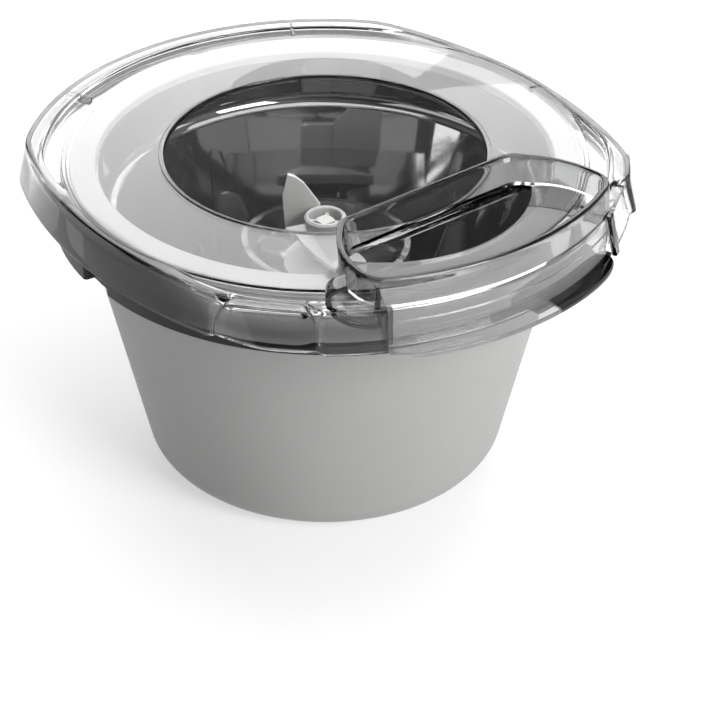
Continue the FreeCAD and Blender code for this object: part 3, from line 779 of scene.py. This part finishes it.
def build_lid():
    """The lid's pieces, which replace its CAD nodes, and the details on them."""
    chute = clear_plastic("chute_plastic", (0.97, 0.975, 0.975), 350.0, ripple=0.02)
    # Painted shade: far darker and more absorbing than the lid's plastic, standing in for the black
    # refraction seen along thick edges.
    dark = clear_plastic("clear_plastic_painted_shade", (0.7, 0.7, 0.7), 900.0)
    rough = clear_plastic("clear_plastic_rough", (0.8, 0.8, 0.8), 400.0, ripple=0.9, grain=900.0)
    # The last two tints are painted shade: on the skirt and the chute's floor, and darker still at the
    # left side.
    make_lid(lid_plastic("lid_plastic", (0.93, 0.935, 0.935), (0.3, 0.3, 0.305), (0.03, 0.03, 0.03)))
    make_opening_edge(dark)
    make_chute(chute)
    make_panel(panel_plastic("panel_plastic", (0.7, 0.7, 0.7), (0.004, 0.004, 0.004)))
    make_lid_details(chute, dark, rough)


# ---------------------------------------------------------------- studio
def studio(x, y, z):
    """Turns a place in metres, given as seen from the camera (x right, y away), into the frame."""
    angle = math.radians(-CAMERA_BEARING)
    across = x * math.cos(angle) - y * math.sin(angle)
    along = x * math.sin(angle) + y * math.cos(angle)
    return Vector((across, along, z))


def add_camera():
    data = bpy.data.cameras.new("camera")
    data.lens = 114.2
    data.sensor_width = 36.0
    data.shift_x = 0.0483
    data.shift_y = -0.125
    camera = bpy.data.objects.new("camera", data)
    elevation = math.radians(CAMERA_ELEVATION)
    away = CAMERA_DISTANCE * math.cos(elevation)
    camera.location = studio(0, -away, RIM * MM + CAMERA_DISTANCE * math.sin(elevation))
    camera.rotation_euler = (math.radians(90 - CAMERA_TILT), 0, math.radians(-CAMERA_BEARING))
    bpy.context.scene.collection.objects.link(camera)
    bpy.context.scene.camera = camera


def add_light(name, place_at, target, size, power):
    """A rectangular card of light that the camera doesn't see, aimed at the target."""
    data = bpy.data.lights.new(name, "AREA")
    data.shape = "RECTANGLE"
    data.size, data.size_y = size
    data.energy = power
    light = bpy.data.objects.new(name, data)
    light.location = studio(*place_at)
    aim = studio(*target) - light.location
    light.rotation_euler = aim.to_track_quat("-Z", "Y").to_euler()
    light.visible_camera = False
    bpy.context.scene.collection.objects.link(light)
    return light


def link_light(light, state, *nodes):
    """Lights only the named CAD nodes ("INCLUDE"), or all but them ("EXCLUDE")."""
    receivers = bpy.data.collections.new(light.name + "_receivers")
    for name in nodes:
        receivers.objects.link(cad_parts[name])
    for entry in receivers.collection_objects:
        entry.light_linking.link_state = state
    light.light_linking.receiver_collection = receivers


def add_fan_card(name, azimuth, width, power):
    """A card whose reflection makes one of the bright fans in the liner."""
    angle = math.radians(azimuth)
    spot = (FAN_DISTANCE * math.sin(angle), FAN_DISTANCE * math.cos(angle), FAN_HEIGHT)
    card = add_light(name, spot, OBJECT_CENTRE, (width, FAN_TALL), power)
    link_light(card, "INCLUDE", "inner_liner")


def add_floor():
    """A plain pale floor, lifted a little by its own light to keep its shadow soft."""
    bm = bmesh.new()
    bmesh.ops.create_grid(bm, x_segments=1, y_segments=1, size=4.0)
    paper = moulded("floor_paper", (0.5, 0.5, 0.5), 0.9, strength=0.0, spread=0.0)
    shader = paper.node_tree.nodes["Principled BSDF"]
    shader.inputs["Emission Color"].default_value = (1, 1, 1, 1)
    shader.inputs["Emission Strength"].default_value = 0.52
    to_object("floor", bm, paper)


def add_world():
    """Soft surroundings that darken towards the front left, as black cards would make them."""
    world = bpy.data.worlds.new("world")
    world.use_nodes = True
    tree = world.node_tree
    coords = tree.nodes.new("ShaderNodeTexCoord")
    facing = tree.nodes.new("ShaderNodeVectorMath")
    facing.operation = "DOT_PRODUCT"
    facing.inputs[1].default_value = studio(-0.75, -0.6, -0.25).normalized()
    tree.links.new(coords.outputs["Generated"], facing.inputs[0])
    level = tree.nodes.new("ShaderNodeMapRange")
    level.interpolation_type = "SMOOTHSTEP"
    level.inputs["From Min"].default_value = -0.35
    level.inputs["From Max"].default_value = 0.75
    level.inputs["To Min"].default_value = 0.34
    level.inputs["To Max"].default_value = 0.03
    tree.links.new(facing.outputs["Value"], level.inputs["Value"])
    tree.links.new(level.outputs["Result"], tree.nodes["Background"].inputs["Strength"])
    tree.nodes["Background"].inputs["Color"].default_value = (1, 1, 1, 1)
    bpy.context.scene.world = world


def add_studio():
    back = add_light("back_card", (0.0, 1.4, 0.95), (0, 0, RIM * MM), (2.0, 1.0), 19)
    link_light(back, "EXCLUDE", "inner_liner")
    add_light("overhead", (0.2, 0.2, 1.7), OBJECT_CENTRE, (1.4, 1.4), 16)
    add_light("key_right", (1.05, -1.05, 0.8), OBJECT_CENTRE, (0.8, 1.0), 28)
    add_light("rim_left", (-1.5, 0.9, 0.4), OBJECT_CENTRE, (0.06, 0.8), 0.5)
    for name, (azimuth, width, power) in FAN_CARDS.items():
        add_fan_card(name, azimuth, width, power)
    add_floor()
    add_world()
    bpy.context.scene.view_settings.view_transform = "Standard"


dress_nodes()
build_lid()
add_camera()
add_studio()
